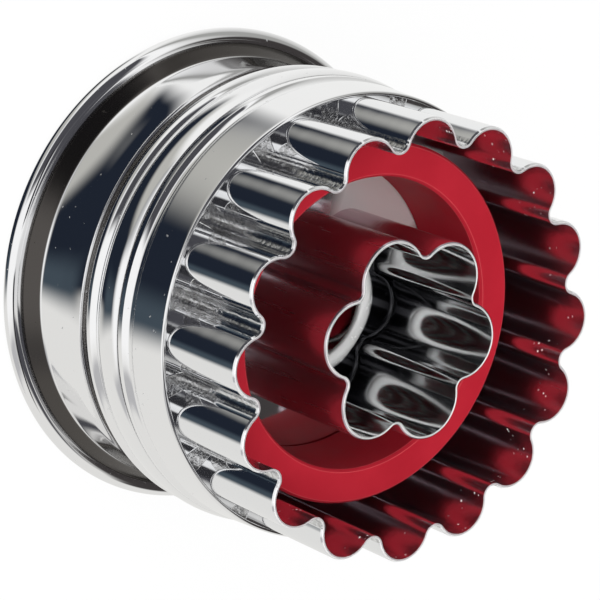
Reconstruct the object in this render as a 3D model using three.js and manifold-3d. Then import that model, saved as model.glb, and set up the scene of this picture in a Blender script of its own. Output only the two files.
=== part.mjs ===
// Linzer cookie cutter: scalloped outer blade, flower blade in the middle and a sprung push-out ring.
// Millimetres, +Z from the flat back of the rolled rim towards the cutting edges, axis through the origin.
import * as THREE from 'three';
import { mergeVertices } from 'three/addons/utils/BufferGeometryUtils.js';
import Module from 'manifold-3d';

const wasm = await Module();
wasm.setup();

// Whole object
const overallHeight = 38;
const seamHeight = 19.1;
const stripThickness = 0.35;

// Facets along round stretches
const roundSegments = 48;
const sectorSteps = 4;
const rimSteps = 14;
const filletSteps = 4;
const bowSteps = 5;
const fluteCrestSteps = 8;
const fluteBendSteps = 5;
const petalCrestSteps = 12;
const petalBendSteps = 5;

// Scalloped outer blade
const fluteCount = 16;
const fluteCrestRadius = 23.95;
const fluteDepth = 2.85;
const fluteBendRadius = 1.2;
const seatFlangeSetback = 0.3;
const seatFlangeThickness = 0.35;
const seatFlangeClearance = 0.1;

// Flower blade, its floor and the neck pressed out of the floor
const petalCount = 6;
const petalCrestRadius = 11.65;
const petalDepth = 2.6;
const petalBendRadius = 1;
const flowerSetback = 1.1;
const flowerTurn = THREE.MathUtils.degToRad(-7.3);
const floorThickness = 0.5;
const neckBoreRadius = 6.5;
const neckMouthRadius = 1.1;
const neckWall = 0.5;
const neckReach = 1.4;

// Carrier disc, clamped between cup and band
const discThickness = 0.8;
const discLap = 0.28;
const discEdgeClearance = 0.12;
const neckHoleClearance = 0.3;
const slotClearance = 0.4;

// Holder band
const bandWall = 0.38;
const bandReach = 6.7;
const bandTaper = 0.23;
const fluteClearance = 0.17;
const seamGap = 0.15;
const skirtHeight = 0.85;
const coveLength = 1.7;
const coveDepth = 0.37;

// Grip cup
const cupWall = 0.6;
const waistRadius = 23.9;
const rimBeadRadius = 1.1;
const rimReach = 2.05;
const rimGrooveAngle = THREE.MathUtils.degToRad(120);
const rimFlangeSlope = THREE.MathUtils.degToRad(3);
const rimFlangeBend = 0.3;
const flareLength = 4.8;
const flareTurnLength = 1.6;
const beadLength = 1.6;
const beadRise = 0.25;
const grooveDepth = 0.25;
const ridgeLength = 4.1;
const ridgeRise = 0.4;
const lipWidth = 1.5;
const lipThickness = 0.6;

// Red ejector ring, with a sleeve and legs
const ringSetback = 8.4;
const ringClearance = 1;
const ringBoreRadius = 16.05;
const ringThickness = 1.8;
const ringEdgeBreak = 0.3;
const sleeveWall = 1.5;
const restGap = 0.2;
const legCount = 3;
const legAngle = THREE.MathUtils.degToRad(30);
const legTipAngle = THREE.MathUtils.degToRad(20);

// Red thumb plate
const plateRecess = 0.8;
const plateThickness = 1.8;
const plateClearance = 0.4;
const plateDish = 0.7;
const plateDishRadius = 13;
const plateSkirtHeight = 2.4;
const plateSkirtWall = 1.5;
const spigotHeight = 1.8;
const spigotWall = 1.5;
const tipClearance = 0.2;
const tipRecess = 0.3;

// Return spring
const springWire = 0.9;
const springTurns = 5;
const springSideClearance = 0.5;
const springEndGap = 0.3;
const springStepsPerTurn = 12;
const springSides = 5;

// Cutting shapes reach this far past the faces they cut, and points this close count as one
const cutOvershoot = 1;
const mergeTolerance = 1e-5;

// Heights and radii that follow from the sizes above
const discTop = seamHeight + discThickness;
const floorTop = discTop + floorThickness;
const ringFace = overallHeight - ringSetback;
const ringRadius = fluteCrestRadius - fluteDepth - stripThickness - ringClearance;
const sleeveRadius = ringBoreRadius + sleeveWall;
const bandBore = fluteCrestRadius + fluteClearance;
const bandFront = discTop + bandReach;
const bandRadius = bandBore + bandWall;
const discRadius = bandBore + discLap;
const skirtBore = discRadius + discEdgeClearance;
const skirtRadius = skirtBore + bandWall;
const cupBore = waistRadius - cupWall;
const neckRadius = neckBoreRadius + neckWall;
const plateTop = plateRecess + plateThickness;
const springRadius = neckRadius + springSideClearance + springWire / 2;

const polishedSteel = { color: 0xd8dade, metalness: 1, roughness: 0.12 };
const bladeSteel = { color: 0xd2d5d9, metalness: 1, roughness: 0.16 };
const springSteel = { color: 0xb4b8bc, metalness: 1, roughness: 0.3 };
const redPlastic = { color: 0xb81f2b, metalness: 0, roughness: 0.35 };

const cutter = new THREE.Group();
cutter.name = 'linzer_cutter';

function addPiece(name, geometry, finish) {
  const mesh = new THREE.Mesh(geometry, new THREE.MeshStandardMaterial(finish));
  mesh.name = name;
  cutter.add(mesh);
}

// A closed profile of (radius, height) points, turned round Z; the points run counter-clockwise
function revolve(profile) {
  const points = profile.map(([radius, height]) => new THREE.Vector2(radius, height));
  return new THREE.LatheGeometry(points, roundSegments).rotateX(Math.PI / 2);
}

function extrude(shape, bottom, top) {
  const options = { depth: top - bottom, bevelEnabled: false, curveSegments: roundSegments / 2 };
  return new THREE.ExtrudeGeometry(shape, options).translate(0, 0, bottom);
}

// Points along an arc about (x, y), both ends included
function arc(x, y, radius, from, to, steps) {
  return Array.from({ length: steps + 1 }, (_, i) => {
    const angle = from + ((to - from) * i) / steps;
    return [x + radius * Math.cos(angle), y + radius * Math.sin(angle)];
  });
}

// Points along a parabola from one point to another, pulled towards a control point
function bow(from, control, to, steps) {
  const curve = new THREE.QuadraticBezierCurve(
    new THREE.Vector2(...from), new THREE.Vector2(...control), new THREE.Vector2(...to));
  return curve.getPoints(steps).map((point) => [point.x, point.y]);
}

// Round crests joined by tight bends, each pair of arcs tangent where they meet.
// The strip's middle line runs from the crest radius in by the depth, and offset moves it to one face.
function waveOutline({ count, crest, depth, bend, offset, turn = 0, crestSteps, bendSteps }) {
  const half = Math.PI / count;
  const bendCentre = crest - depth + bend;
  const crossTerm = bendCentre * Math.cos(half);
  const crestBow = (crest ** 2 + bendCentre ** 2 - 2 * crest * crossTerm - bend ** 2)
    / (2 * (bend + crest - crossTerm));
  const crestCentre = crest - crestBow;
  const sweep = Math.atan2(bendCentre * Math.sin(half), crossTerm - crestCentre);
  const points = [];
  for (let i = 0; i < count; i += 1) {
    const middle = turn + 2 * half * i;
    const valley = middle + half;
    const lobe = arc(crestCentre * Math.cos(middle), crestCentre * Math.sin(middle), crestBow + offset,
      middle - sweep, middle + sweep, crestSteps);
    const dip = arc(bendCentre * Math.cos(valley), bendCentre * Math.sin(valley), bend - offset,
      valley + Math.PI + sweep - half, valley + Math.PI - sweep + half, bendSteps);
    points.push(...lobe, ...dip.slice(1, -1));
  }
  return points.map(([x, y]) => new THREE.Vector2(x, y));
}

function toSolid(geometry) {
  const bare = geometry.clone();
  bare.deleteAttribute('normal');
  bare.deleteAttribute('uv');
  const merged = mergeVertices(bare, mergeTolerance);
  const vertProperties = new Float32Array(merged.attributes.position.array);
  const triVerts = new Uint32Array(merged.index.array);
  return new wasm.Manifold(new wasm.Mesh({ numProp: 3, vertProperties, triVerts }));
}

function toGeometry(solid) {
  const { vertProperties, triVerts } = solid.getMesh();
  const geometry = new THREE.BufferGeometry();
  geometry.setAttribute('position', new THREE.BufferAttribute(new Float32Array(vertProperties), 3));
  geometry.setIndex(new THREE.BufferAttribute(new Uint32Array(triVerts), 1));
  geometry.computeVertexNormals();
  return geometry;
}

// A curved bar between two radii, centred on one direction
function sector(inner, outer, middle, angle) {
  const points = [
    ...arc(0, 0, outer, middle - angle / 2, middle + angle / 2, sectorSteps),
    ...arc(0, 0, inner, middle + angle / 2, middle - angle / 2, sectorSteps),
  ];
  return new THREE.Shape(points.map(([x, y]) => new THREE.Vector2(x, y)));
}

function eachLeg(make) {
  return Array.from({ length: legCount }, (_, i) => make((2 * Math.PI * i) / legCount));
}

// Grip cup: flat back, rolled rim, shallow flange, waist, flare, small bead, groove, wide ridge and
// a lip turned in
function gripCup() {
  const rimCentre = waistRadius + rimReach;
  const ridgeStart = seamHeight - ridgeLength;
  const beadStart = ridgeStart - beadLength;
  const flareStart = beadStart - flareLength;
  const grooveRadius = skirtRadius - grooveDepth;
  const ridgeMiddle = (ridgeStart + seamHeight) / 2;
  const ridgeCrest = skirtRadius + ridgeRise;
  const beadCrest = skirtRadius + beadRise;
  const lipHeight = seamHeight - lipThickness;
  const frontBore = grooveRadius - cupWall;
  const rim = arc(rimCentre, rimBeadRadius, rimBeadRadius, -Math.PI / 2, rimGrooveAngle, rimSteps);
  const [rimGrooveRadius, rimGrooveHeight] = rim.at(-1);
  const flangeTop = rimGrooveHeight + (rimGrooveRadius - waistRadius) * Math.tan(rimFlangeSlope);
  const bendStart = [
    waistRadius + rimFlangeBend * Math.cos(rimFlangeSlope),
    flangeTop - rimFlangeBend * Math.sin(rimFlangeSlope),
  ];
  const bendEnd = [waistRadius, flangeTop + rimFlangeBend];
  const flangeBend = bow(bendStart, [waistRadius, flangeTop], bendEnd, bowSteps);
  const flareControl = [waistRadius, beadStart - flareTurnLength];
  const flare = bow([waistRadius, flareStart], flareControl, [skirtRadius, beadStart], bowSteps);
  const bead = bow([skirtRadius, beadStart], [2 * beadCrest - skirtRadius, beadStart + beadLength / 2],
    [grooveRadius, ridgeStart], bowSteps);
  const ridge = bow([grooveRadius, ridgeStart], [2 * ridgeCrest - skirtRadius, ridgeMiddle],
    [skirtRadius, seamHeight], bowSteps);
  const innerFlare = bow([frontBore, beadStart], [cupBore, flareControl[1]],
    [cupBore, flareStart], bowSteps);
  const profile = [
    [cupBore, 0], ...rim, ...flangeBend, ...flare, ...bead.slice(1), ...ridge.slice(1),
    [frontBore - lipWidth, seamHeight], [frontBore - lipWidth, lipHeight], [frontBore, lipHeight],
    ...innerFlare, [cupBore, 0],
  ];
  return revolve(profile);
}

// Holder band: a skirt that laps the disc's edge, a pressed-in cove and a slightly tapered front
function holderBand() {
  const skirtTop = seamHeight + skirtHeight;
  const shoulder = bandRadius + bandTaper;
  const coveTop = skirtTop + coveLength;
  const control = [(skirtRadius + shoulder) / 2 - 2 * coveDepth, skirtTop + coveLength / 2];
  const cove = bow([skirtRadius, skirtTop], control, [shoulder, coveTop], bowSteps);
  const profile = [
    [skirtBore, seamHeight + seamGap], [skirtRadius, seamHeight + seamGap], ...cove, [bandRadius, bandFront],
    [bandBore, bandFront], [bandBore, discTop], [skirtBore, discTop], [skirtBore, seamHeight + seamGap],
  ];
  return revolve(profile);
}

// Carrier disc: hole for the flower's neck and one slot for each ejector leg
function carrierDisc() {
  const shape = new THREE.Shape().absarc(0, 0, discRadius, 0, 2 * Math.PI, false);
  shape.holes.push(new THREE.Path().absarc(0, 0, neckRadius + neckHoleClearance, 0, 2 * Math.PI, true));
  const slotAngle = legAngle + (2 * slotClearance) / ringBoreRadius;
  const slots = eachLeg((direction) => sector(
    ringBoreRadius - slotClearance, sleeveRadius + slotClearance, direction, slotAngle));
  shape.holes.push(...slots);
  return extrude(shape, seamHeight, discTop);
}

// Scalloped blade: a strip of even thickness that stands on the disc inside the band.
// A flat seat flange fills the bends up to the band, just behind its front edge.
function flutedCutter() {
  const crest = fluteCrestRadius - stripThickness / 2;
  const wave = {
    count: fluteCount, crest, depth: fluteDepth, bend: fluteBendRadius,
    crestSteps: fluteCrestSteps, bendSteps: fluteBendSteps,
  };
  const strip = new THREE.Shape(waveOutline({ ...wave, offset: stripThickness / 2 }));
  strip.holes.push(new THREE.Path(waveOutline({ ...wave, offset: -stripThickness / 2 })));
  const seatRadius = bandBore - seatFlangeClearance;
  const seat = new THREE.Shape().absarc(0, 0, seatRadius, 0, 2 * Math.PI, false);
  seat.holes.push(new THREE.Path(waveOutline({ ...wave, offset: 0 })));
  const seatTop = bandFront - seatFlangeSetback;
  const flange = toSolid(extrude(seat, seatTop - seatFlangeThickness, seatTop));
  return toGeometry(toSolid(extrude(strip, discTop, overallHeight)).add(flange));
}

// Flower blade: a petal tube closed by a floor.
// The floor's neck has a rounded mouth, passes through the disc and guides the spring.
function flowerCutter() {
  const crest = petalCrestRadius - stripThickness / 2;
  const edge = overallHeight - flowerSetback;
  const wave = {
    count: petalCount, crest, depth: petalDepth, bend: petalBendRadius, turn: flowerTurn,
    crestSteps: petalCrestSteps, bendSteps: petalBendSteps,
  };
  const outside = new THREE.Shape(waveOutline({ ...wave, offset: stripThickness / 2 }));
  const inside = new THREE.Shape(waveOutline({ ...wave, offset: -stripThickness / 2 }));
  const neck = new THREE.Shape().absarc(0, 0, neckRadius, 0, 2 * Math.PI, false);
  const neckEnd = seamHeight - neckReach;
  const mouth = arc(neckBoreRadius + neckMouthRadius, floorTop - neckMouthRadius, neckMouthRadius,
    Math.PI, Math.PI / 2, filletSteps);
  const bore = revolve([
    [0, neckEnd - cutOvershoot], [neckBoreRadius, neckEnd - cutOvershoot], ...mouth,
    [neckBoreRadius + neckMouthRadius, floorTop + cutOvershoot], [0, floorTop + cutOvershoot],
  ]);
  const hollow = toSolid(extrude(inside, floorTop, edge + cutOvershoot));
  const tube = toSolid(extrude(outside, discTop, edge)).subtract(hollow);
  const necked = tube.add(toSolid(extrude(neck, neckEnd, floorTop)));
  return toGeometry(necked.subtract(toSolid(bore)));
}

// Ejector ring: flat face with broken edges, a sleeve down to the disc and legs through its slots
function ejectorRing() {
  const sleeveEnd = discTop + restGap;
  const ring = toSolid(revolve([
    [ringBoreRadius, sleeveEnd], [sleeveRadius, sleeveEnd], [sleeveRadius, ringFace - ringThickness],
    [ringRadius, ringFace - ringThickness], [ringRadius, ringFace - ringEdgeBreak],
    [ringRadius - ringEdgeBreak, ringFace], [ringBoreRadius + ringEdgeBreak, ringFace],
    [ringBoreRadius, ringFace - ringEdgeBreak], [ringBoreRadius, sleeveEnd],
  ]));
  const sleeveMiddle = sleeveEnd + sleeveWall;
  const legInner = ringBoreRadius + slotClearance / 2;
  const legOuter = sleeveRadius - slotClearance / 2;
  const tipEnd = plateRecess + tipRecess;
  const legs = eachLeg((direction) => [
    toSolid(extrude(sector(legInner, legOuter, direction, legAngle), plateTop, sleeveMiddle)),
    toSolid(extrude(sector(legInner, legOuter, direction, legTipAngle), tipEnd, sleeveMiddle)),
  ]);
  return toGeometry(legs.flat().reduce((joined, leg) => joined.add(leg), ring));
}

// Thumb plate: shallow dish for the thumb, guiding skirt, spring spigot and sockets for the leg tips
function thumbPlate() {
  const plateRadius = cupBore - plateClearance;
  const skirtBoreRadius = plateRadius - plateSkirtWall;
  const skirtTop = plateTop + plateSkirtHeight;
  const spigotTop = plateTop + spigotHeight;
  const spigotRadius = springRadius - springWire / 2 - springSideClearance;
  const dish = bow([0, plateRecess + plateDish], [plateDishRadius / 2, plateRecess + plateDish],
    [plateDishRadius, plateRecess], bowSteps);
  const plate = toSolid(revolve([
    ...dish, [plateRadius, plateRecess], [plateRadius, skirtTop], [skirtBoreRadius, skirtTop],
    [skirtBoreRadius, plateTop], [spigotRadius, plateTop], [spigotRadius, spigotTop],
    [spigotRadius - spigotWall, spigotTop], [spigotRadius - spigotWall, plateTop], [0, plateTop],
  ]));
  const socketAngle = legTipAngle + (2 * tipClearance) / ringBoreRadius;
  const inner = ringBoreRadius + slotClearance / 2 - tipClearance;
  const outer = sleeveRadius - slotClearance / 2 + tipClearance;
  const sockets = eachLeg((direction) => toSolid(extrude(
    sector(inner, outer, direction, socketAngle), plateRecess - cutOvershoot, plateTop + cutOvershoot)));
  return toGeometry(sockets.reduce((rest, socket) => rest.subtract(socket), plate));
}

// Spring wire's middle line: an even helix whose ends run straight for one wire diameter
class SpringLine extends THREE.Curve {
  constructor(radius, bottom, top, turns, straight) {
    super();
    Object.assign(this, { radius, bottom, top, turns, straight });
    this.turnLength = 2 * Math.PI * radius * turns;
    this.wholeLength = this.turnLength + 2 * straight;
  }

  getPoint(t, target = new THREE.Vector3()) {
    const along = t * this.wholeLength - this.straight;
    const onHelix = THREE.MathUtils.clamp(along, 0, this.turnLength);
    const past = along - onHelix;
    const angle = onHelix / this.radius;
    const height = this.bottom + ((this.top - this.bottom) * onHelix) / this.turnLength;
    return target.set(
      this.radius * Math.cos(angle) - past * Math.sin(angle),
      this.radius * Math.sin(angle) + past * Math.cos(angle),
      height);
  }
}

// Least clear distance between wire points at least half a turn apart along the wire
function leastSelfGap(line, steps) {
  const points = Array.from({ length: steps + 1 }, (_, i) => line.getPoint(i / steps));
  const apart = Math.ceil(steps / line.turns / 2);
  let least = Infinity;
  for (let i = 0; i < points.length; i += 1) {
    for (let j = i + apart; j < points.length; j += 1) {
      least = Math.min(least, points[i].distanceTo(points[j]));
    }
  }
  return least - springWire;
}

function returnSpring() {
  const bottom = plateTop + springEndGap + springWire / 2;
  const top = seamHeight - springEndGap - springWire / 2;
  const line = new SpringLine(springRadius, bottom, top, springTurns, springWire);
  const section = new THREE.Shape(arc(0, 0, springWire / 2, 0, 2 * Math.PI, springSides)
    .slice(0, -1).map(([x, y]) => new THREE.Vector2(x, y)));
  const steps = springTurns * springStepsPerTurn + 2;
  console.log(`return_spring least gap to itself ${leastSelfGap(line, steps * 8).toFixed(2)} mm`);
  return new THREE.ExtrudeGeometry(section, { steps, extrudePath: line, bevelEnabled: false });
}

addPiece('grip_cup', gripCup(), polishedSteel);
addPiece('holder_band', holderBand(), polishedSteel);
addPiece('carrier_disc', carrierDisc(), bladeSteel);
addPiece('fluted_cutter', flutedCutter(), bladeSteel);
addPiece('flower_cutter', flowerCutter(), bladeSteel);
addPiece('return_spring', returnSpring(), springSteel);
addPiece('ejector_ring', ejectorRing(), redPlastic);
addPiece('thumb_plate', thumbPlate(), redPlastic);

export default cutter;
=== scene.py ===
import bmesh
import bpy
import numpy as np
from mathutils import Matrix, Vector


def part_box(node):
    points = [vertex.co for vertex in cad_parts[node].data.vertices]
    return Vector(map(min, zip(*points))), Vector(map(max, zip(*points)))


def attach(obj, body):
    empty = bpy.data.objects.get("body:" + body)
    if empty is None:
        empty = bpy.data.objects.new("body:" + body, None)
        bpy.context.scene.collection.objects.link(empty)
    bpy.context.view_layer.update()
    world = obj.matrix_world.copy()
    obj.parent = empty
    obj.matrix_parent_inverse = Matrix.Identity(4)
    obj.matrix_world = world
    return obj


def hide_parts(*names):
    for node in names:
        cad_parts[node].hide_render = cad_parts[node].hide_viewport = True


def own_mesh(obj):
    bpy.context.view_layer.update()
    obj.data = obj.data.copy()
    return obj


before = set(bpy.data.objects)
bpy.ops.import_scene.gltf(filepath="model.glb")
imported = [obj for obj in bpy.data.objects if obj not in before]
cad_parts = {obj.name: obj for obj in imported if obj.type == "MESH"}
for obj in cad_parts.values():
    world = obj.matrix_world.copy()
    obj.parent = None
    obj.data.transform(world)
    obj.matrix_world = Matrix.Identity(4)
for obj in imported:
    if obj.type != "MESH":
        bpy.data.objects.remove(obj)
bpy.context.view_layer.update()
mm = 0.001  # sizes in the dictionaries are millimetres
tau = 2 * np.pi
sameSpot = 1e-8  # metres; points closer than this are one
creaseAngle = 35  # degrees; edges that turn more stay crisp


# radius, bottom and top of a round CAD node, in millimetres
def roundSize(node):
    low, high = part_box(node)
    return high.x / mm, low.z / mm, high.z / mm


rimRadius, _, seamHeight = roundSize("grip_cup")
skirtRadius, bandBack, bandFront = roundSize("holder_band")
discRadius, discBack, discFront = roundSize("carrier_disc")
seatRadius, fluteBack, fluteEdge = roundSize("fluted_cutter")
_, neckEnd, petalEdge = roundSize("flower_cutter")
ringRadius, tipEnd, ringFace = roundSize("ejector_ring")
plateRadius, plateBack, plateSkirt = roundSize("thumb_plate")
springReach, springBack, springFront = roundSize("return_spring")
flangeProud = 0.07  # how far the seat flange stands out past the crests
fluteRadius = seatRadius - flangeProud


# camera: stands at place, looks at aim, and upward is the picture's up
viewCamera = dict(
    place=(-198.81, 80.53, 263.81),
    aim=(8.27, -3.42, 7.81),
    upward=(0.106, 0.967, -0.231),
    lens=180.05,
    sensor=36,
    nearest=10,
)


def placeCamera(spec):
    place, aim, upward = (Vector(spec[key]) for key in ("place", "aim", "upward"))
    back = (place - aim).normalized()
    right = upward.cross(back).normalized()
    turn = Matrix((right, back.cross(right), back)).transposed().to_4x4()
    data = bpy.data.cameras.new("viewCamera")
    data.lens = spec["lens"]
    data.sensor_width = spec["sensor"]
    data.clip_start = spec["nearest"] * mm
    made = bpy.data.objects.new("viewCamera", data)
    made.matrix_world = Matrix.Translation(place * mm) @ turn
    bpy.context.scene.collection.objects.link(made)
    bpy.context.scene.camera = made


placeCamera(viewCamera)
print("camera placed")


# a socket that stands in an expression: each operator adds one Math node
class Wire:
    def __init__(self, tree, socket=None):
        self.tree = tree
        self.socket = socket

    def node(self, kind, settings, inputs, output=0):
        made = self.tree.nodes.new("ShaderNode" + kind)
        for key, value in settings.items():
            if key == "stops":
                fillRamp(made.color_ramp.elements, value)
            else:
                setattr(made, key, value)
        for key, value in inputs.items():
            if isinstance(value, Wire):
                self.tree.links.new(value.socket, made.inputs[key])
            else:
                made.inputs[key].default_value = value
        return Wire(self.tree, made.outputs[output])

    def maths(self, operation, *values):
        return self.node("Math", {"operation": operation}, dict(enumerate(values)))

    def __add__(self, other):
        return self.maths("ADD", self, other)

    def __sub__(self, other):
        return self.maths("SUBTRACT", self, other)

    def __rsub__(self, other):
        return self.maths("SUBTRACT", other, self)

    def __mul__(self, other):
        return self.maths("MULTIPLY", self, other)

    __radd__ = __add__
    __rmul__ = __mul__

    def most(self, other):
        return self.maths("MAXIMUM", self, other)

    # 0 below low, 1 above high, smooth between; low above high turns it round
    def step(self, low, high):
        limits = {"Value": self, 1: low, 2: high, 3: 0.0, 4: 1.0}
        return self.node("MapRange", {"interpolation_type": "SMOOTHSTEP"}, limits)

    def dot(self, direction):
        return self.node("VectorMath", {"operation": "DOT_PRODUCT"}, {0: self, 1: direction}, "Value")

    def blend(self, first, second):
        return self.node("Mix", {"data_type": "RGBA"}, {0: self, 6: first, 7: second}, 2)


# each stop is a place from 0 to 1 and its colour
def fillRamp(elements, stops):
    while len(elements) < len(stops):
        elements.new(1.0)
    for element, (place, colour) in zip(elements, stops):
        element.position = place
        element.color = colour


def rgb(red, green, blue):
    return (red, green, blue, 1.0)


# points of a profile are complex numbers, radius + 1j * height
def arc(centre, radius, start, end, count=32):
    return centre + radius * np.exp(1j * np.radians(np.linspace(start, end, count)))


# parabola from start to end, pulled towards control
def bow(start, control, end, count=48):
    t = np.linspace(0, 1, count)
    return (1 - t) ** 2 * start + 2 * t * (1 - t) * control + t**2 * end


# closed outline whose corners are eased by a running average, then sampled evenly in
# length plus turnSpacing times the angle it turns, so bends get more points
def easedLoop(corners, ease, count, turnSpacing=1.2, fine=6000):
    loop = np.append(corners, corners[0])
    along = np.append(0, np.cumsum(np.abs(np.diff(loop))))
    even = np.interp(np.arange(fine) * along[-1] / fine, along, loop)
    pitch = np.fft.fftfreq(fine, along[-1] / fine)
    soft = np.fft.ifft(np.fft.fft(even) * np.exp(-2 * (np.pi * pitch * ease) ** 2))
    stride = np.roll(soft, -1) - soft
    turning = np.abs(np.angle(stride / np.roll(stride, 1)))
    total = np.append(0, np.cumsum(np.abs(stride) + turnSpacing * turning))
    place = np.interp(np.linspace(0, total[-1], count, endpoint=False), total, np.arange(fine + 1))
    return np.interp(place, np.arange(fine + 1), np.append(soft, soft[0]))


# share of a full bend at each point of a closed outline, 0 on flats
def bendShare(loop, scale):
    stride = np.roll(loop, -1) - loop
    turning = np.abs(np.angle(stride / np.roll(stride, 1)))
    length = (np.abs(stride) + np.abs(np.roll(stride, 1))) / 2
    return np.clip(turning / length * scale, 0, 1)


# strip's middle line: round crests and tight bends as tangent arcs, with its outward normals;
# valley is 0 on crests and 1 in bends
def waveLine(count, crest, depth, bend, turn, crestPoints, bendPoints):
    half = np.pi / count
    bendCentre = crest - depth + bend
    cross = bendCentre * np.cos(half)
    crestBow = (crest**2 + bendCentre**2 - 2 * crest * cross - bend**2) / (2 * (bend + crest - cross))
    crestCentre = crest - crestBow
    sweep = np.arctan2(bendCentre * np.sin(half), cross - crestCentre)
    swing = np.linspace(-1, 1, crestPoints, endpoint=False) * sweep
    dip = np.linspace(-1, 1, bendPoints, endpoint=False) * (sweep - half)
    lobe = crestCentre + crestBow * np.exp(1j * swing)
    notch = bendCentre * np.exp(1j * half) - bend * np.exp(1j * (half - dip))
    line = np.append(lobe, notch)
    normal = np.append(np.exp(1j * swing), np.exp(1j * (half - dip)))
    valley = np.append(np.zeros(crestPoints), np.ones(bendPoints))
    places = np.exp(1j * (turn + 2 * half * np.arange(count)))[:, None]
    return (places * line).ravel(), (places * normal).ravel(), np.tile(valley, count)


# mesh of quads, which hold point numbers, with one value per point for each named attribute
def addMesh(name, points, quads, sharpAngle=None, **pointValues):
    mesh = bpy.data.meshes.new(name)
    mesh.vertices.add(len(points))
    mesh.vertices.foreach_set("co", (points * mm).ravel())
    mesh.loops.add(quads.size)
    mesh.loops.foreach_set("vertex_index", quads.ravel())
    mesh.polygons.add(len(quads))
    mesh.polygons.foreach_set("loop_start", np.arange(0, quads.size, 4))
    mesh.update(calc_edges=True)
    for key, value in pointValues.items():
        layer = mesh.attributes.new(key, "FLOAT", "POINT")
        layer.data.foreach_set("value", np.ascontiguousarray(value.ravel(), dtype=np.float32))
    mergeDoubles(mesh)
    mesh.polygons.foreach_set("use_smooth", np.ones(len(mesh.polygons), dtype=bool))
    if sharpAngle:
        mesh.set_sharp_from_angle(angle=np.radians(sharpAngle))
    made = bpy.data.objects.new(name, mesh)
    bpy.context.scene.collection.objects.link(made)
    print("piece", name, "faces", len(mesh.polygons))
    return made


# poles are rings of equal points, which become one point here
def mergeDoubles(mesh):
    work = bmesh.new()
    work.from_mesh(mesh)
    bmesh.ops.remove_doubles(work, verts=work.verts, dist=sameSpot)
    work.to_mesh(mesh)
    work.free()


# quads of a grid of rows by columns, numbered row by row
def gridQuads(rows, columns, wrapRows=True):
    row = np.arange(rows if wrapRows else rows - 1)[:, None]
    column = np.arange(columns)[None, :]
    nextRow = (row + 1) % rows * columns
    nextColumn = (column + 1) % columns
    corners = [row * columns + column, nextRow + column, nextRow + nextColumn, row * columns + nextColumn]
    return np.stack(np.broadcast_arrays(*corners), -1).reshape(-1, 4)


# surface closed both ways: rows go round the object, columns round its wall section;
# flat holds x + 1j * y and height holds z, one value for each row and column
def wrapSurface(name, flat, height, sharpAngle=None, wrapRows=True, **pointValues):
    flat, height = np.broadcast_arrays(flat, height)
    points = np.stack([flat.real, flat.imag, height], -1).reshape(-1, 3)
    spread = {key: np.broadcast_to(value, flat.shape) for key, value in pointValues.items()}
    return addMesh(name, points, gridQuads(*flat.shape, wrapRows), sharpAngle, **spread)


# profile turned round Z: x + 1j * y = radius * exp(1j * angle)
def spun(name, profile, segments, wearScale, **pointValues):
    angle = np.linspace(0, tau, segments, endpoint=False)[:, None]
    wear = bendShare(profile, wearScale)
    return wrapSurface(name, profile.real * np.exp(1j * angle), profile.imag, wear=wear, **pointValues)


# round plate between two heights given for each radius and angle, with the open cells left out
# and a wall built wherever a solid cell meets an open one or the rim
def openPlate(name, radii, angles, top, bottom, isOpen, **pointValues):
    rows, columns = len(radii), len(angles)
    under = rows * columns  # from a point's number on top to the one below it
    flat = np.tile(radii[:, None] * np.exp(1j * angles), (2, 1))
    height = np.vstack([np.broadcast_to(side, (rows, columns)) for side in (top, bottom)])
    solid = ~isOpen

    def at(row, column):
        return row * columns + column % columns

    def wall(first, second):
        return np.stack([first, second, second + under, first + under], -1)

    i, j = np.nonzero(solid)
    cap = np.stack([at(i, j), at(i + 1, j), at(i + 1, j + 1), at(i, j + 1)], -1)
    faces = [cap, cap[:, ::-1] + under]
    rings = np.pad(solid, ((1, 1), (0, 0))).astype(int)
    outward = (rings[:-1] - rings[1:]) * (radii[:, None] > 0)  # 1 where the plate ends, -1 where it starts
    around = np.roll(solid, 1, 1).astype(int) - solid
    for change in (1, -1):
        i, j = np.nonzero(outward == change)
        faces.append(wall(at(i, j + 1), at(i, j))[:, ::change])
        i, j = np.nonzero(around == change)
        faces.append(wall(at(i, j), at(i + 1, j))[:, ::change])
    points = np.stack([flat.real, flat.imag, height], -1).reshape(-1, 3)
    spread = {key: np.broadcast_to(value, flat.shape) for key, value in pointValues.items()}
    return addMesh(name, points, np.concatenate(faces), creaseAngle, **spread)


# shared start of every finish: a material, a wire to build from and its main shader
def newFinish(name):
    material = bpy.data.materials.new(name)
    material.use_nodes = True
    tree = material.node_tree
    return material, Wire(tree), tree.nodes["Principled BSDF"]


# sets or links a shader's inputs by name
def feed(shader, **inputs):
    for key, value in inputs.items():
        socket = shader.inputs[key.replace("_", " ")]
        if isinstance(value, Wire):
            value.tree.links.new(value.socket, socket)
        else:
            socket.default_value = value


def noiseAt(wire, place, scale, detail, roughness=0.55):
    inputs = {"Vector": place, "Scale": scale, "Detail": detail, "Roughness": roughness}
    return wire.node("TexNoise", {}, inputs)


def bumpOf(wire, strength, distance, height):
    return wire.node("Bump", {}, {"Strength": strength, "Distance": distance, "Height": height})


def attributeOf(wire, name):
    return wire.node("Attribute", {"attribute_name": name}, {}, "Fac")


def stretched(wire, place, scale):
    return wire.node("Mapping", {}, {"Vector": place, "Scale": scale})


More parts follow.
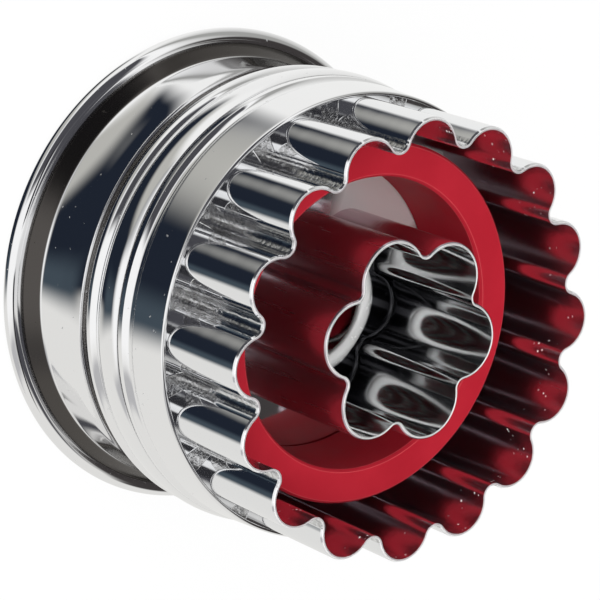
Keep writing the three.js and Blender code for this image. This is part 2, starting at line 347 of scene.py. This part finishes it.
# in the finishes a noise is its scale and detail, and an edge is where it starts and ends to show
polishFinish = dict(
    colour=rgb(0.90, 0.90, 0.905),
    wornColour=rgb(0.80, 0.80, 0.81),
    wornShare=0.5,
    smooth=0.03,
    smudged=0.10,
    wornAndEdgeHighlight=0.09,
    smudgeNoise=(70, 5.0),
    smudgeEdge=(0.48, 0.78),
    speckNoise=(1500, 1.0),
    speckEdge=(0.74, 0.80),
    speckRough=0.45,
    waveNoise=(110, 1.0),
    waveDepth=0.02,
    waveDistance=0.001,
    paintedShadeColour=rgb(0.085, 0.078, 0.073),
    paintedShadeRough=0.18,
)


# mirror polish with soft smudges, a slight waviness from pressing, tiny dull specks and duller bends;
# the flange in the groove behind the rim is painted dark as painted shade
def polishedSteel(spec):
    material, wire, shader = newFinish("polishedSteel")
    place = wire.node("TexCoord", {}, {}, "Object")
    wear, stain = (attributeOf(wire, name) for name in ("wear", "stain"))
    smudge = noiseAt(wire, place, *spec["smudgeNoise"]).step(*spec["smudgeEdge"])
    speck = noiseAt(wire, place, *spec["speckNoise"]).step(*spec["speckEdge"])
    wave = noiseAt(wire, place, *spec["waveNoise"])
    rough = spec["smooth"] + smudge * (spec["smudged"] - spec["smooth"]) + speck * spec["speckRough"]
    colour = (wear * spec["wornShare"]).blend(spec["colour"], spec["wornColour"])
    feed(
        shader,
        Metallic=1.0,
        # painted shade: the flange in the groove behind the rim is painted near black
        Base_Color=stain.blend(colour, spec["paintedShadeColour"]),
        Roughness=rough + wear * (spec["wornAndEdgeHighlight"] - spec["smooth"]) + stain * spec["paintedShadeRough"],
        Normal=bumpOf(wire, spec["waveDepth"], spec["waveDistance"], wave),
    )
    return material


bladeFinish = dict(
    colour=rgb(0.88, 0.885, 0.895),
    paintedBendShadeColour=rgb(0.46, 0.455, 0.45),
    paintedShadeColour=rgb(0.045, 0.045, 0.05),
    # painted red reflection: a darker red-purple tint for the scallops' inner faces and the flower's
    # outside walls
    paintedRedReflectionColour=rgb(0.60, 0.49, 0.54),
    paintedLightColour=rgb(0.97, 0.97, 0.96),
    smooth=0.06,
    rubbed=0.15,
    rubLeast=0.35,
    bendShadeShare=0.8,
    speckleNoise=(1700, 3.0),
    speckleEdge=(0.38, 0.62),
    streakStretch=(1300, 1300, 50),
    streakNoise=(1.0, 3.0),
    streakEdge=(0.5, 0.8),
    streakRough=0.03,
    streakDent=0.5,
    rippleNoise=(260, 1.0),
    ripple=0.06,
    dent=0.16,
    grain=0.05,
    dentDistance=0.0003,
    paintedGlintScale=1500,
    paintedGlintEdge=(0.25, 0.12),
    clusterNoise=(500, 2.0),
    clusterEdge=(0.54, 0.64),
    paintedGlintRise=(0.0325, 0.0345),  # metres up the flutes
    paintedLightDull=0.8,
    paintedLightRough=0.2,
)


# bright strip: crests smooth with slight ripples, bends rubbed and mottled by the forming tool and darkened
# as painted shade, inner faces satin and tinted as a painted red reflection, with clusters of painted
# glints near the edge, the flower's floor painted dark as painted shade, its lip and the ground edges
# painted pale and matt as painted highlights
def bladeSteel(spec):
    material, wire, shader = newFinish("bladeSteel")
    place = wire.node("TexCoord", {}, {}, "Object")
    valley, satin, stain, matt, inner, scuffed = (
        attributeOf(wire, name) for name in ("valley", "satin", "stain", "matt", "inner", "scuffed"))
    speckle = noiseAt(wire, place, *spec["speckleNoise"])
    streak = noiseAt(wire, stretched(wire, place, spec["streakStretch"]), *spec["streakNoise"])
    ripple = noiseAt(wire, place, *spec["rippleNoise"])
    height = wire.node("SeparateXYZ", {}, {"Vector": place}, "Z")
    # painted glints: clusters of small pale matt dots near the edge of the scallops' inner faces
    cell = wire.node("TexVoronoi", {}, {"Vector": place, "Scale": spec["paintedGlintScale"]}, "Distance")
    cluster = noiseAt(wire, place, *spec["clusterNoise"]).step(*spec["clusterEdge"])
    cluster = cluster * height.step(*spec["paintedGlintRise"])
    # painted highlight: the ground tips, the flower's lip, a sector of the carrier disc and the glint dots
    # are painted pale and matt
    paintedLight = matt.most(cell.step(*spec["paintedGlintEdge"]) * cluster * scuffed)
    # bends: mottled by the rubbing of the forming tool, and their colour darkened as painted shade
    rubAndShade = valley * (spec["rubLeast"] + (1 - spec["rubLeast"]) * speckle.step(*spec["speckleEdge"]))
    colour = (rubAndShade * spec["bendShadeShare"]).blend(spec["colour"], spec["paintedBendShadeColour"])
    # painted red reflection on the inner faces, then painted shade on the flower's floor and low walls
    colour = stain.blend(inner.blend(colour, spec["paintedRedReflectionColour"]), spec["paintedShadeColour"])
    dents = (streak * spec["streakDent"] + speckle) * valley * spec["dent"]
    dents = dents + speckle * inner * spec["grain"] + ripple * spec["ripple"]
    rough = spec["smooth"] + rubAndShade * (spec["rubbed"] - spec["smooth"]) + satin
    feed(
        shader,
        Metallic=1.0 - paintedLight * spec["paintedLightDull"],
        Base_Color=paintedLight.blend(colour, spec["paintedLightColour"]),
        Roughness=rough + streak.step(*spec["streakEdge"]) * spec["streakRough"] + paintedLight * spec["paintedLightRough"],
        Normal=bumpOf(wire, 1.0, spec["dentDistance"], dents),
    )
    return material


wireFinish = dict(
    colour=rgb(0.55, 0.54, 0.52),
    darkColour=rgb(0.30, 0.30, 0.30),
    smooth=0.16,
    rough=0.34,
    drawNoise=(900, 4.0),
    drawEdge=(0.35, 0.7),
    drawDepth=0.08,
    drawDistance=0.0002,
)


# drawn wire, mottled between a dark and a bright grey; the mottling is the wire's own, and its dark overall
# tone is painted shade inside the hole
def springSteel(spec):
    material, wire, shader = newFinish("springSteel")
    place = wire.node("TexCoord", {}, {}, "Object")
    drawn = noiseAt(wire, place, *spec["drawNoise"]).step(*spec["drawEdge"])
    feed(
        shader,
        Metallic=1.0,
        Base_Color=drawn.blend(spec["darkColour"], spec["colour"]),
        Roughness=spec["rough"] - drawn * (spec["rough"] - spec["smooth"]),
        Normal=bumpOf(wire, spec["drawDepth"], spec["drawDistance"], drawn),
    )
    return material


plasticFinish = dict(
    colour=rgb(0.52, 0.021, 0.038),
    deepColour=rgb(0.47, 0.017, 0.032),
    paintedEdgeHighlightColour=rgb(0.60, 0.07, 0.085),
    glossy=0.42,
    satin=0.55,
    shine=0.07,
    cloudNoise=(160, 4.0),
    cloudEdge=(0.3, 0.7),
    edgeHighlightRange=(0.15, 0.6),
    grainNoise=(4200, 2.0),
    grainDepth=0.035,
    grainDistance=0.0002,
)


# satin moulded red with faint clouding, a fine grain and edges painted paler as a painted highlight
def redPlastic(spec):
    material, wire, shader = newFinish("redPlastic")
    place = wire.node("TexCoord", {}, {}, "Object")
    cloud = noiseAt(wire, place, *spec["cloudNoise"]).step(*spec["cloudEdge"])
    # painted highlight: the chamfers and bent edges are painted a paler red
    wornAndEdgeHighlight = attributeOf(wire, "wear").step(*spec["edgeHighlightRange"])
    grain = noiseAt(wire, place, *spec["grainNoise"])
    body = cloud.blend(spec["deepColour"], spec["colour"])
    feed(
        shader,
        Base_Color=wornAndEdgeHighlight.blend(body, spec["paintedEdgeHighlightColour"]),
        Roughness=spec["glossy"] + cloud * (spec["satin"] - spec["glossy"]),
        Specular_IOR_Level=spec["shine"],
        Normal=bumpOf(wire, spec["grainDepth"], spec["grainDistance"], grain),
    )
    return material


polish = polishedSteel(polishFinish)
blade = bladeSteel(bladeFinish)
springWire = springSteel(wireFinish)
red = redPlastic(plasticFinish)
print("finishes made")


# gives a piece its finish and its body, and hides the CAD node it stands for
def fit(piece, material, node, body="body"):
    piece.data.materials.append(material)
    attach(piece, body)
    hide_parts(node)
    return piece


gripCup = dict(
    wall=0.6,
    rimBead=1.1,
    rimReach=2.05,
    grooveAngle=120,
    flangeSlope=54,
    flangeBend=0.3,
    paintedShadeLap=(0.05, 0.1),
    footFlare=0.35,
    footLean=0.2,
    footTop=7.4,
    footEase=0.01,
    flareLength=4.8,
    beadLength=1.6,
    beadRise=0.25,
    grooveDepth=0.25,
    ridgeLength=4.1,
    ridgeRise=0.4,
    lipWidth=1.5,
    ease=0.07,
    wearScale=0.15,
    bendPoints=12,
    sectionPoints=250,
    segments=380,
)


# rolled rim, sloping flange, waist with a bell foot, parabolic flare, small bead, groove, wide ridge
# and turned-in lip; the painted shade share is 1 on the flange, between the rim and the bell foot
def makeGripCup(spec):
    rimCentre = rimRadius - spec["rimBead"] + 1j * spec["rimBead"]
    rim = arc(rimCentre, spec["rimBead"], -90, spec["grooveAngle"])
    waist = rimCentre.real - spec["rimReach"]
    bore = waist - spec["wall"]
    ridgeStart = seamHeight - spec["ridgeLength"]
    beadStart = ridgeStart - spec["beadLength"]
    flareStart = beadStart - spec["flareLength"]
    flarePull = beadStart - spec["flareLength"] / 3
    groove = skirtRadius - spec["grooveDepth"]
    frontBore = groove - spec["wall"]
    lip = frontBore - spec["lipWidth"]
    lipBack = seamHeight - spec["wall"]
    foot = waist + spec["footFlare"]
    flangeTop = rim[-1].imag + (rim[-1].real - foot) * np.tan(np.radians(spec["flangeSlope"]))
    corner = foot + 1j * flangeTop
    outward = spec["flangeBend"] * np.exp(1j * np.radians(-spec["flangeSlope"]))
    bell = corner + spec["flangeBend"] * (1j - spec["footLean"])
    bellPull = waist + spec["footEase"] + 1j * (bell.imag + (bell.real - waist) / spec["footLean"])
    beadPull = skirtRadius + 2 * spec["beadRise"] + 1j * (beadStart + spec["beadLength"] / 2)
    ridgePull = skirtRadius + 2 * spec["ridgeRise"] + 1j * (ridgeStart + seamHeight) / 2
    profile = np.concatenate([
        [bore],
        rim,
        bow(corner + outward, corner, bell, spec["bendPoints"]),
        bow(bell, bellPull, waist + 1j * spec["footTop"]),
        bow(waist + 1j * flareStart, waist + 1j * flarePull, skirtRadius + 1j * beadStart),
        bow(skirtRadius + 1j * beadStart, beadPull, groove + 1j * ridgeStart),
        bow(groove + 1j * ridgeStart, ridgePull, skirtRadius + 1j * seamHeight),
        [lip + 1j * seamHeight, lip + 1j * lipBack, frontBore + 1j * lipBack],
        bow(frontBore + 1j * beadStart, bore + 1j * flarePull, bore + 1j * flareStart),
    ])
    loop = easedLoop(profile, spec["ease"], spec["sectionPoints"])
    # painted shade mask: the flange in the groove between the rim and the bell foot
    outLap, upLap = spec["paintedShadeLap"]
    onFlange = (loop.real > foot) & (loop.real < rim[-1].real + outLap)
    onFlange = onFlange & (loop.imag > spec["rimBead"]) & (loop.imag < flangeTop + upLap)
    return spun("gripCupShell", loop, spec["segments"], spec["wearScale"], stain=onFlange)


fit(makeGripCup(gripCup), polish, "grip_cup")


holderBand = dict(
    wall=0.45,
    taper=0.23,
    skirtHeight=0.85,
    coveLength=1.7,
    coveDepth=0.37,
    fluteClearance=0.1,
    edgeClearance=0.12,
    edgeRound=0.33,
    ease=0.05,
    wearScale=0.08,
    edgePoints=10,
    sectionPoints=150,
    segments=380,
)


# skirt that laps the disc, pressed-in cove and a slightly tapered front with a rounded edge
def makeHolderBand(spec):
    bore = fluteRadius + spec["fluteClearance"]
    front = bore + spec["wall"]
    shoulder = front + spec["taper"]
    skirtBore = discRadius + spec["edgeClearance"]
    skirtTop = seamHeight + spec["skirtHeight"]
    coveTop = skirtTop + spec["coveLength"]
    pull = (skirtRadius + shoulder) / 2 - 2 * spec["coveDepth"] + 1j * (skirtTop + spec["coveLength"] / 2)
    edge = front + 1j * bandFront
    profile = np.concatenate([
        [skirtBore + 1j * bandBack, skirtRadius + 1j * bandBack],
        bow(skirtRadius + 1j * skirtTop, pull, shoulder + 1j * coveTop),
        bow(edge - 1j * spec["edgeRound"], edge, edge - spec["edgeRound"], spec["edgePoints"]),
        [bore + 1j * bandFront, bore + 1j * discFront, skirtBore + 1j * discFront],
    ])
    loop = easedLoop(profile, spec["ease"], spec["sectionPoints"])
    return spun("holderBandShell", loop, spec["segments"], spec["wearScale"])


fit(makeHolderBand(holderBand), polish, "holder_band")


scallopBlade = dict(
    strip=0.35,
    bevel=0.28,
    bevelWidth=0.2,
    tip=0.02,
    tipReach=0.1,
    tipPaintedLight=0.5,
    satin=0.19,
    flutes=16,
    depth=2.85,
    bend=1.2,
    crestPoints=36,
    bendPoints=14,
    rows=40,
)


# section of a strip blade: outer wall up, bevel across to a narrow tip, inner wall down; real part is
# the offset from the middle line, and the painted light share marks the ground rows of the tip, painted
# pale as a highlight
def stripSection(spec, bottom, edge):
    half = spec["strip"] / 2
    rows = spec["rows"]
    rise = half + 1j * np.linspace(bottom, edge - spec["bevel"], rows)
    across = np.linspace(rise[-1], half - spec["bevelWidth"] + 1j * edge, 5)[1:]
    fall = np.append(edge - spec["tip"], np.linspace(edge - spec["tipReach"], bottom, rows))
    # painted highlight on the ground rows of the tip
    paintedLight = spec["tipPaintedLight"] * np.concatenate([np.zeros(rows + 2), np.ones(3), np.zeros(rows)])
    return np.concatenate([rise, across, -half + 1j * fall]), paintedLight


# the scalloped line, which the blade and its flange share
def scallopLine(spec):
    crest = fluteRadius - spec["strip"] / 2
    return waveLine(
        spec["flutes"], crest, spec["depth"], spec["bend"], 0, spec["crestPoints"], spec["bendPoints"])


# the strip section carried along the scalloped line
def makeScallopBlade(spec):
    line, normal, valley = scallopLine(spec)
    section, paintedLight = stripSection(spec, fluteBack, fluteEdge)
    flat = line[:, None] + normal[:, None] * section.real
    outside = section.real > 0
    # painted light: the tip rows get a painted highlight, the inner faces a painted red reflection and
    # painted glints
    return wrapSurface(
        "scallopBlade", flat, section.imag, creaseAngle, matt=paintedLight, inner=~outside, scuffed=~outside,
        valley=valley[:, None] * outside, satin=~outside * spec["satin"])


fit(makeScallopBlade(scallopBlade), blade, "fluted_cutter")


seatFlange = dict(setback=0.06, thickness=0.35)


# flat flange between the scallops and the band: each row runs from the scalloped line out to a circle,
# down its edge and back below; share is 0 at the line and 1 at the circle
def makeSeatFlange(spec, wave):
    line, normal, valley = scallopLine(wave)
    inner = (line + normal * wave["strip"] / 2)[:, None]
    outer = seatRadius * np.exp(1j * np.angle(line))[:, None]
    share = np.array([0, 0.25, 0.5, 0.75, 1, 1, 0])
    below = np.array([0, 0, 0, 0, 0, 1, 1])
    flat = (1 - share) * inner + share * outer
    height = bandFront - spec["setback"] - spec["thickness"] * below
    return wrapSurface("seatFlange", flat, height, creaseAngle, valley=valley[:, None])


flange = makeSeatFlange(seatFlange, scallopBlade)
flange.data.materials.append(blade)
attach(flange, "body")


flowerBlade = dict(
    strip=0.35,
    bevel=0.2,
    bevelWidth=0.2,
    tip=0.02,
    tipReach=0.1,
    tipPaintedLight=0.6,
    petals=6,
    crest=11.65,
    depth=2.6,
    bend=1.0,
    turn=-7.3,
    floor=0.5,
    fillet=0.4,
    neckBore=6.5,
    neckWall=0.5,
    lipWidth=1.5,
    lipRise=0.4,
    insideSatin=0.05,
    outsideSatin=0.2,
    outsidePaintedReflection=0.9,
    paintedShadeRise=5.0,
    crestPoints=56,
    bendPoints=20,
    filletPoints=7,
    lipPoints=16,
    floorRows=10,
    neckRows=6,
    rows=40,
)


# petal wall, floor, raised lip and round neck in one skin: share moves each row of the section from the
# petal line (0) to a circle of the given radius (1) at the same angle
def makeFlowerBlade(spec):
    half = spec["strip"] / 2
    line, normal, _ = waveLine(
        spec["petals"], spec["crest"] - half, spec["depth"], spec["bend"], np.radians(spec["turn"]),
        spec["crestPoints"], spec["bendPoints"])
    floorTop = discFront + spec["floor"]
    filletTop = floorTop + spec["fillet"]
    wall, tipPaintedLight = stripSection(spec, discFront, petalEdge)
    shown = (wall.real > 0) | (wall.imag > filletTop)
    wall, tipPaintedLight = wall[shown], tipPaintedLight[shown]
    fillet = arc(-half - spec["fillet"] + 1j * filletTop, spec["fillet"], 0, -90, spec["filletPoints"])
    across = np.linspace(0, 1, spec["floorRows"])[1:-1]
    swing = np.linspace(0, np.pi, spec["lipPoints"])
    lipRadius = spec["neckBore"] + spec["lipWidth"] / 2 * (1 + np.cos(swing))
    lipHeight = floorTop + spec["lipRise"] * np.sin(swing)
    neckOuter = spec["neckBore"] + spec["neckWall"]
    down = np.linspace(floorTop, neckEnd, spec["neckRows"])[1:]
    back = np.linspace(neckEnd, discFront, spec["neckRows"])
    stretches = [  # share, offset from the petal line, radius of the circle, height and painted highlight share
        (0, wall.real, lipRadius[0], wall.imag, tipPaintedLight),
        (0, fillet.real, lipRadius[0], fillet.imag, 0),
        (across, fillet[-1].real, lipRadius[0], floorTop, 0),
        # the lip is painted pale as a painted highlight
        (1, half, lipRadius, lipHeight, 1),
        (1, half, spec["neckBore"], down, 0),
        (1, half, neckOuter, back, 0),
        (across[::-1], half, neckOuter, discFront, 0),
    ]
    rows = [np.stack(np.broadcast_arrays(*stretch)) for stretch in stretches]
    share, offset, radius, height, paintedLight = np.concatenate(rows, axis=1)
    petal = line[:, None] + normal[:, None] * offset
    circle = radius * np.exp(1j * np.angle(line))[:, None]
    onWall = share == 0
    inside = offset < 0
    onFloor = (share > 0) & (share < 1) & (height > discFront)
    lowWall = np.clip(1 - (height - floorTop) / spec["paintedShadeRise"], 0, 1) * inside * onWall
    # painted shade on the floor and the low inside walls, fading out up the wall; the outside walls take
    # the painted red reflection tint
    return wrapSurface(
        "flowerBlade", (1 - share) * petal + share * circle, height, creaseAngle, matt=paintedLight,
        stain=np.maximum(onFloor, lowWall),
        satin=np.where(inside, spec["insideSatin"], spec["outsideSatin"]) * onWall,
        inner=spec["outsidePaintedReflection"] * (onWall & ~inside))


fit(makeFlowerBlade(flowerBlade), blade, "flower_cutter")


pushRing = dict(
    bore=15.95,
    thickness=1.8,
    sleeve=1.6,
    restGap=0.2,
    legs=3,
    legAngle=30,
    tipAngle=20,
    legShy=0.2,
    legSide=4e-4,  # radians, half the width of a leg's steep side
    plateFace=2.6,
    lowRows=0.3,  # rows this close to the sleeve's end drop with a leg
    edgeBreak=0.3,
    ease=0.05,
    wearScale=0.1,
    sectionPoints=120,
    segments=360,
)


# ring and sleeve turned round Z; within each leg's angle the sleeve's lowest rows drop to the leg's end
def makePushRing(spec):
    bore = spec["bore"]
    sleeve = bore + spec["sleeve"]
    sleeveEnd = discFront + spec["restGap"]
    under = ringFace - spec["thickness"]
    cut = spec["edgeBreak"]
    profile = np.array([
        bore + 1j * sleeveEnd, sleeve + 1j * sleeveEnd, sleeve + 1j * under, ringRadius + 1j * under,
        ringRadius + 1j * (ringFace - cut), ringRadius - cut + 1j * ringFace,
        bore + cut + 1j * ringFace, bore + 1j * (ringFace - cut),
    ])
    loop = easedLoop(profile, spec["ease"], spec["sectionPoints"])
    step = tau / spec["legs"]
    halves = np.radians([spec["legAngle"] / 2, spec["tipAngle"] / 2])
    sides = np.concatenate([halves - spec["legSide"], halves + spec["legSide"]])
    sides = np.concatenate([sides, -sides])[:, None] + step * np.arange(spec["legs"])
    angle = np.unique(np.append(np.linspace(0, tau, spec["segments"], endpoint=False), sides.ravel() % tau))
    fromLeg = np.abs((angle + step / 2) % step - step / 2)[:, None]
    drop = (fromLeg < halves[0]) * (sleeveEnd - spec["plateFace"])
    drop = np.where(fromLeg < halves[1], sleeveEnd - tipEnd, drop)
    low = loop.imag < sleeveEnd + spec["lowRows"]
    middle = bore + spec["sleeve"] / 2
    narrow = 1 - 2 * spec["legShy"] / spec["sleeve"] * (drop > 0) * low
    radius = middle + (loop.real - middle) * np.where(low, narrow, 1)
    height = loop.imag - drop * low
    wear = bendShare(loop, spec["wearScale"])
    flat = radius * np.exp(1j * angle[:, None])
    return wrapSurface("pushRing", flat, height, creaseAngle, wear=wear)


fit(makePushRing(pushRing), red, "ejector_ring", "ejector")


# angles round a plate, with one at each side of the legs' openings, and which cells lie in those
def plateAngles(segments, legs, openAngle):
    step = tau / legs
    sides = np.array([-openAngle / 2, openAngle / 2])[:, None] + step * np.arange(legs)
    angles = np.unique(np.append(np.linspace(0, tau, segments, endpoint=False), sides.ravel() % tau))
    middle = (angles + np.append(angles[1:], tau)) / 2
    return angles, np.abs((middle + step / 2) % step - step / 2) < openAngle / 2


carrierPlate = dict(
    neckHole=7.3,
    legBore=16.05,
    legWall=1.5,
    slotClearance=0.4,
    innerRing=12.0,
    outerRing=21.0,
    edgeBreak=0.1,
    paintedLight=0.85,
    paintedLightSector=(20, 30, 72, 84),
    segments=240,
)


# flat disc with the neck's hole and a curved slot for each leg, with a pale matt painted sheen over one
# sector of its face
def makeCarrierPlate(spec):
    cut = spec["edgeBreak"]
    slotInner = spec["legBore"] - spec["slotClearance"]
    slotOuter = spec["legBore"] + spec["legWall"] + spec["slotClearance"]
    slotAngle = np.radians(pushRing["legAngle"]) + 2 * spec["slotClearance"] / spec["legBore"]
    radii = np.array([
        spec["neckHole"], spec["neckHole"] + cut, spec["innerRing"], slotInner, slotOuter,
        spec["outerRing"], discRadius - cut, discRadius])
    ease = np.where((radii == radii[0]) | (radii == radii[-1]), cut, 0)[:, None]
    angles, inLeg = plateAngles(spec["segments"], pushRing["legs"], slotAngle)
    isOpen = np.zeros((len(radii) - 1, len(angles)), dtype=bool)
    isOpen[np.searchsorted(radii, slotInner)] = inLeg
    # painted sheen: pale and matt over one sector of the face
    paintedLight = spec["paintedLight"] * np.interp(np.degrees(angles), spec["paintedLightSector"], (0, 1, 1, 0))
    return openPlate("carrierPlate", radii, angles, discFront - ease, discBack + ease, isOpen, matt=paintedLight)


fit(makeCarrierPlate(carrierPlate), blade, "carrier_disc")


thumbPad = dict(
    dish=0.7,
    dishRadius=13,
    dishPower=1.5,
    face=2.6,
    skirtWall=1.5,
    spigotRadius=7.0,
    spigotWall=1.5,
    spigotHeight=1.8,
    socketInner=16.05,
    socketOuter=17.55,
    tipClearance=0.2,
    edgeBreak=0.3,
    edgeStep=0.02,
    rings=8,
    segments=240,
)


# plate with a thumb dish below, deepest on the axis and running out at the dish radius, and with skirt and
# spigot above, whose walls stand between two close rings
def makeThumbPad(spec):
    cut = spec["edgeBreak"]
    skirt = plateRadius - spec["skirtWall"]
    spigot = spec["spigotRadius"]
    spigotBore = spigot - spec["spigotWall"]
    edge = spec["edgeStep"]
    radii = np.concatenate([
        np.linspace(0, spigotBore - edge, spec["rings"]), [spigotBore, spigot, spigot + edge],
        np.linspace(spigot + 1, spec["dishRadius"] + 1, spec["rings"]),
        [spec["socketInner"], spec["socketOuter"], skirt - edge, skirt, plateRadius - cut, plateRadius],
    ])
    onSpigot = (radii > spigotBore - edge / 2) & (radii < spigot + edge / 2)
    top = np.where(onSpigot, spec["face"] + spec["spigotHeight"], spec["face"])
    top = np.where(radii > skirt - edge / 2, plateSkirt, top)
    hollow = np.clip(1 - (radii / spec["dishRadius"]) ** 2, 0, 1) ** spec["dishPower"]
    bottom = plateBack + spec["dish"] * hollow + cut * (radii > plateRadius - cut / 2)
    socketAngle = np.radians(pushRing["tipAngle"]) + 2 * spec["tipClearance"] / spec["socketInner"]
    angles, inLeg = plateAngles(spec["segments"], pushRing["legs"], socketAngle)
    isOpen = np.zeros((len(radii) - 1, len(angles)), dtype=bool)
    isOpen[np.searchsorted(radii, spec["socketInner"])] = inLeg
    return openPlate("thumbPad", radii, angles, top[:, None], bottom[:, None], isOpen)


fit(makeThumbPad(thumbPad), red, "thumb_plate", "ejector")


coilSpring = dict(
    wire=0.9,
    turns=5,
    sides=16,
    stepsPerTurn=72,
    capSteps=5,
    keep=0.47,
)


# round wire along an even helix: centre turns with the angle and climbs with it, rounded off at both ends
def makeCoilSpring(spec):
    half = spec["wire"] / 2
    radius = springReach - half
    steps = spec["turns"] * spec["stepsPerTurn"]
    angle = np.linspace(0, tau * spec["turns"], steps + 1)
    climb = np.linspace(springBack + half, springFront - half, steps + 1)
    cap = np.sin(np.linspace(0, np.pi / 2, spec["capSteps"], endpoint=False))
    angle, climb = (np.pad(value, spec["capSteps"], mode="edge") for value in (angle, climb))
    thick = half * np.concatenate([cap, np.ones(steps + 1), cap[::-1]])
    swing = np.linspace(0, tau, spec["sides"], endpoint=False)
    flat = (radius + thick[:, None] * np.cos(swing)) * np.exp(1j * angle)[:, None]
    height = climb[:, None] + thick[:, None] * np.sin(swing)
    return wrapSurface("coilSpring", flat, height, wrapRows=False)


coil = fit(makeCoilSpring(coilSpring), springWire, "return_spring")
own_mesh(coil)
print("pieces made")


wallWhite = rgb(1.0, 1.0, 1.0)
wallPale = rgb(0.92, 0.92, 0.91)
wallDim = rgb(0.60, 0.60, 0.59)
wallGrey = rgb(0.38, 0.38, 0.37)
wallNavy = rgb(0.014, 0.019, 0.031)
cardDark = rgb(0.07, 0.07, 0.08)
cardBlack = rgb(0.03, 0.03, 0.035)


# the walls are white in front and pale behind, and fade to a navy strip on the left and a grey one on the
# right; cards stand round the object; turn is the angle from the camera's side, to the right, and tilt the
# angle above the table, in degrees, each as the two ends of its soft lower and upper edge; a card with a
# slope drops by that share of the turn
studio = dict(
    upward=(-0.011, 0.996, -0.0845),
    rightward=(0.786, 0.061, 0.616),
    frontward=(-0.618, 0.060, 0.784),
    white=wallWhite,
    soft=dict(turn=((-90, -50), (30, 60)), tilt=((-60, -30), (40, 70)), dim=0.2, full=2.55),
    walls=[
        (-180, wallPale),
        (-163, wallPale),
        (-121, wallGrey),
        (-105, wallNavy),
        (-86, wallNavy),
        (-60, wallWhite),
        (63, wallWhite),
        (80, wallGrey),
        (104, wallGrey),
        (116, wallDim),
        (180, wallPale),
    ],
    cards=[
        dict(turn=((-165, -150), (-86, -80)), tilt=((-8, -4), (44, 54)), colour=wallNavy),
        dict(turn=((-165, -140), (-82, -74)), tilt=((-15, -2), (60, 70)), slope=0.4,
             colour=rgb(0.50, 0.495, 0.465)),
        dict(turn=((-125, -102), (-86, -80)), tilt=((-22, -10), (-3, 8)), colour=rgb(0.055, 0.075, 0.095)),
        dict(turn=((-400, -399), (-70, -60)), tilt=((50, 64), (100, 101)), colour=rgb(0.95, 0.95, 0.94)),
        dict(turn=((-400, -399), (399, 400)), tilt=((-200, -199), (-16, -6)),
             colour=rgb(0.80, 0.795, 0.775)),
        dict(turn=((64, 74), (112, 130)), tilt=((-62, -48), (2, 14)), colour=rgb(0.05, 0.045, 0.045)),
        dict(turn=((-98, -88), (-30, -10)), tilt=((-52, -44), (-36, -28)), colour=rgb(0.50, 0.50, 0.51)),
        dict(turn=((-24, 0), (56, 72)), tilt=((-48, -38), (-27, -23)), colour=cardDark),
        dict(turn=((-62, -46), (46, 56)), tilt=((16, 28), (74, 86)), colour=cardDark),
        dict(turn=((10, 22), (50, 60)), tilt=((-6, 2), (22, 30)), colour=cardDark),
        dict(turn=((-84, -72), (-2, 18)), tilt=((-36, -20), (10, 24)), colour=wallWhite),
        dict(turn=((-6, 6), (62, 74)), tilt=((-27, -19), (-8, 2)), colour=rgb(0.75, 0.75, 0.75)),
        dict(turn=((-9, -5), (7, 11)), tilt=((1, 5), (28, 34)), colour=cardBlack),
        dict(turn=((-9, -5), (7, 11)), tilt=((-60, -50), (-15, -10)), colour=cardBlack),
    ],
)


# white to the camera, a broad soft light from the front for dull surfaces, and for mirrors a room whose
# walls change with the turn, with its cards
def lightStudio(spec):
    world = bpy.data.worlds.new("studio")
    world.use_nodes = True
    bpy.context.scene.world = world
    wire = Wire(world.node_tree)
    way = wire.node("TexCoord", {}, {}, "Generated")
    turn = wire.maths("ARCTAN2", way.dot(spec["rightward"]), way.dot(spec["frontward"])) * np.degrees(1)
    tilt = wire.maths("ARCSINE", way.dot(spec["upward"])) * np.degrees(1)
    stops = [((place + 180) / 360, colour) for place, colour in spec["walls"]]
    room = wire.node("ValToRGB", {"stops": stops}, {0: (turn + 180) * (1 / 360)})

    def inCard(card):
        (left, leftFull), (rightFull, right) = card["turn"]
        (low, lowFull), (highFull, high) = card["tilt"]
        across = turn.step(left, leftFull) * turn.step(right, rightFull)
        raised = tilt + turn * card.get("slope", 0)
        return across * raised.step(low, lowFull) * raised.step(high, highFull)

    for card in spec["cards"]:
        room = inCard(card).blend(room, card["colour"])
    seen = wire.node("LightPath", {}, {}, "Is Glossy Ray").blend(spec["white"], room)
    soft = spec["soft"]
    broad = inCard(soft).blend(rgb(*[soft["dim"]] * 3), rgb(*[soft["full"]] * 3))
    seen = wire.node("LightPath", {}, {}, "Is Diffuse Ray").blend(seen, broad)
    back = world.node_tree.nodes["Background"]
    world.node_tree.links.new(seen.socket, back.inputs["Color"])


lightStudio(studio)


floor = dict(size=3000, drop=0.02, colour=rgb(0.9, 0.9, 0.895), glow=0.93)


# pale floor, near white to the camera with a faint shadow; mirrors look through it at the studio
def layFloor(spec):
    side = spec["size"] / 2
    corner = np.array([[-1, -1, 0], [1, -1, 0], [1, 1, 0], [-1, 1, 0]]) * side
    made = addMesh("studioFloor", corner - [0, 0, spec["drop"]], np.arange(4)[None, :])
    material, wire, shader = newFinish("paleFloor")
    feed(shader, Base_Color=spec["colour"], Roughness=1.0)
    lit = Wire(material.node_tree, shader.outputs[0])
    glow = wire.node("Emission", {}, {"Color": rgb(1, 1, 1), "Strength": 1.0})
    clear = wire.node("BsdfTransparent", {}, {})
    toCamera = wire.node("LightPath", {}, {}, "Is Camera Ray") * spec["glow"]
    toMirror = wire.node("LightPath", {}, {}, "Is Glossy Ray")
    shown = wire.node("MixShader", {}, {0: toCamera, 1: lit, 2: glow})
    shown = wire.node("MixShader", {}, {0: toMirror, 1: shown, 2: clear})
    wire.tree.links.new(shown.socket, material.node_tree.nodes["Material Output"].inputs["Surface"])
    made.data.materials.append(material)


layFloor(floor)
view = bpy.context.scene.view_settings
view.view_transform = "Standard"
print("studio lit")
